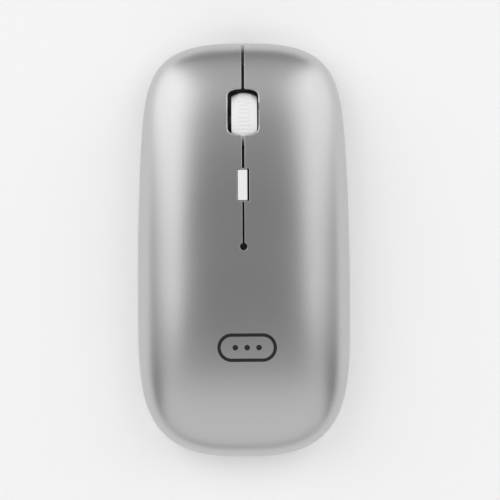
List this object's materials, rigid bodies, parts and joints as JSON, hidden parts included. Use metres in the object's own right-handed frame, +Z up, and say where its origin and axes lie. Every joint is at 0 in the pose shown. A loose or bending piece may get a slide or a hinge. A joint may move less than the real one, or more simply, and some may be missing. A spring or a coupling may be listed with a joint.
{
  "type": "wireless computer mouse",
  "caption": "Low rounded wireless computer mouse with flexing keys, a scroll wheel, a resolution key and a USB receiver docked in its underside.",
  "frame": {"origin": "centre of the footprint, on the desk plane that the glide feet rest on", "axes": "+Z up, +Y towards the nose with the scroll wheel, +X to the user's right"},
  "size_m": [0.0576, 0.112, 0.0217],
  "materials": {
    "silver_paint": "satin metallic paint over moulded plastic",
    "white_plastic": "fine-textured",
    "white_rubber": "matt",
    "white_hub": "smooth",
    "black_plastic": "matt",
    "red_plunger": "moulded",
    "grey_plunger": "moulded",
    "glide": "smooth low-friction sheet",
    "clear_optic": "clear moulded optic",
    "circuit_board": "solder mask over glass fibre",
    "steel": "nickel-plated",
    "gold": "gold-plated",
    "ceramic": "fired ceramic",
    "cell_foil": "laminated foil pouch",
    "tape": "foam tape",
    "ivory": "moulded",
    "wire_red": "insulated",
    "wire_black": "insulated",
    "receiver_insert": "moulded"
  },
  "bodies": {
    "chassis": {"bottom_case": "white_plastic", "top_cover": "silver_paint", "inner_frame": "black_plastic", "main_board": "circuit_board", "left_switch_case": "black_plastic", "right_switch_case": "black_plastic", "encoder_case": "black_plastic", "saddle_guides": "black_plastic", "middle_switch_case": "black_plastic", "dpi_switch_case": "black_plastic", "optical_sensor": "black_plastic", "sensor_lens": "clear_optic", "sensor_led": "clear_optic", "microcontroller": "black_plastic", "crystal": "steel", "board_capacitors": "ceramic", "charge_controller": "black_plastic", "board_antenna": "gold", "charge_port_shell": "steel", "charge_port_tongue": "black_plastic", "power_switch_case": "black_plastic", "battery_cell": "cell_foil", "battery_tape": "tape", "battery_socket": "ivory", "battery_plug": "ivory", "battery_wire_red": "wire_red", "battery_wire_black": "wire_black", "front_foot": "glide", "rear_foot": "glide", "case_screws": "steel", "frame_screws": "steel"},
    "left_key": {"left_button": "silver_paint"},
    "right_key": {"right_button": "silver_paint"},
    "left_plunger": {"left_switch_plunger": "red_plunger"},
    "right_plunger": {"right_switch_plunger": "red_plunger"},
    "saddle": {"axle_saddle": "black_plastic"},
    "wheel": {"wheel_hub": "white_hub", "wheel_tyre": "white_rubber", "encoder_rotor": "grey_plunger"},
    "middle_plunger": {"middle_switch_plunger": "grey_plunger"},
    "resolution_key": {"dpi_button": "white_plastic"},
    "resolution_plunger": {"dpi_switch_plunger": "grey_plunger"},
    "power_knob": {"power_slider": "white_plastic"},
    "receiver": {"receiver_cap": "white_plastic", "receiver_plug_shell": "steel", "receiver_tongue": "receiver_insert", "receiver_contacts": "gold", "receiver_board": "circuit_board"}
  },
  "joints": [
    {"name": "left_button_press", "type": "hinge", "parent": "chassis", "child": "left_key", "pos_m": [0, 0.001, 0.0145], "axis": [-1, 0, 0], "range_deg": [0, 0.6], "stiffness_Nm_per_rad": 0.2},
    {"name": "left_switch_travel", "type": "slide", "parent": "chassis", "child": "left_plunger", "axis": [0, 0, -1], "range_m": [0, 0.0004]},
    {"name": "right_button_press", "type": "hinge", "parent": "chassis", "child": "right_key", "pos_m": [0, 0.001, 0.0145], "axis": [-1, 0, 0], "range_deg": [0, 0.6], "stiffness_Nm_per_rad": 0.2},
    {"name": "right_switch_travel", "type": "slide", "parent": "chassis", "child": "right_plunger", "axis": [0, 0, -1], "range_m": [0, 0.0004]},
    {"name": "wheel_press", "type": "hinge", "parent": "chassis", "child": "saddle", "pos_m": [-0.0074, 0.0352, 0.0136], "axis": [0, 1, 0], "range_deg": [0, 0.9], "stiffness_Nm_per_rad": 0.02},
    {"name": "wheel_spin", "type": "hinge", "parent": "saddle", "child": "wheel", "pos_m": [0.00035, 0.0352, 0.0136], "axis": [1, 0, 0], "continuous": true},
    {"name": "middle_switch_travel", "type": "slide", "parent": "chassis", "child": "middle_plunger", "axis": [0, 0, -1], "range_m": [0, 0.00027]},
    {"name": "resolution_key_press", "type": "slide", "parent": "chassis", "child": "resolution_key", "axis": [0, 0, -1], "range_m": [0, 0.0003], "stiffness_N_per_m": 20},
    {"name": "resolution_switch_travel", "type": "slide", "parent": "chassis", "child": "resolution_plunger", "axis": [0, 0, -1], "range_m": [0, 0.0003]},
    {"name": "power_slide", "type": "slide", "parent": "chassis", "child": "power_knob", "axis": [0, 1, 0], "range_m": [0, 0.0025]},
    {"name": "receiver_pull", "type": "slide", "parent": "chassis", "child": "receiver", "axis": [0, 0, -1], "range_m": [0, 0.02]}
  ],
  "couplings": [
    {"joint": "left_switch_travel", "follows": "left_button_press", "m_per_rad": 0.037},
    {"joint": "right_switch_travel", "follows": "right_button_press", "m_per_rad": 0.037},
    {"joint": "middle_switch_travel", "follows": "wheel_press", "m_per_rad": 0.016},
    {"joint": "resolution_switch_travel", "follows": "resolution_key_press", "ratio": 1}
  ]
}
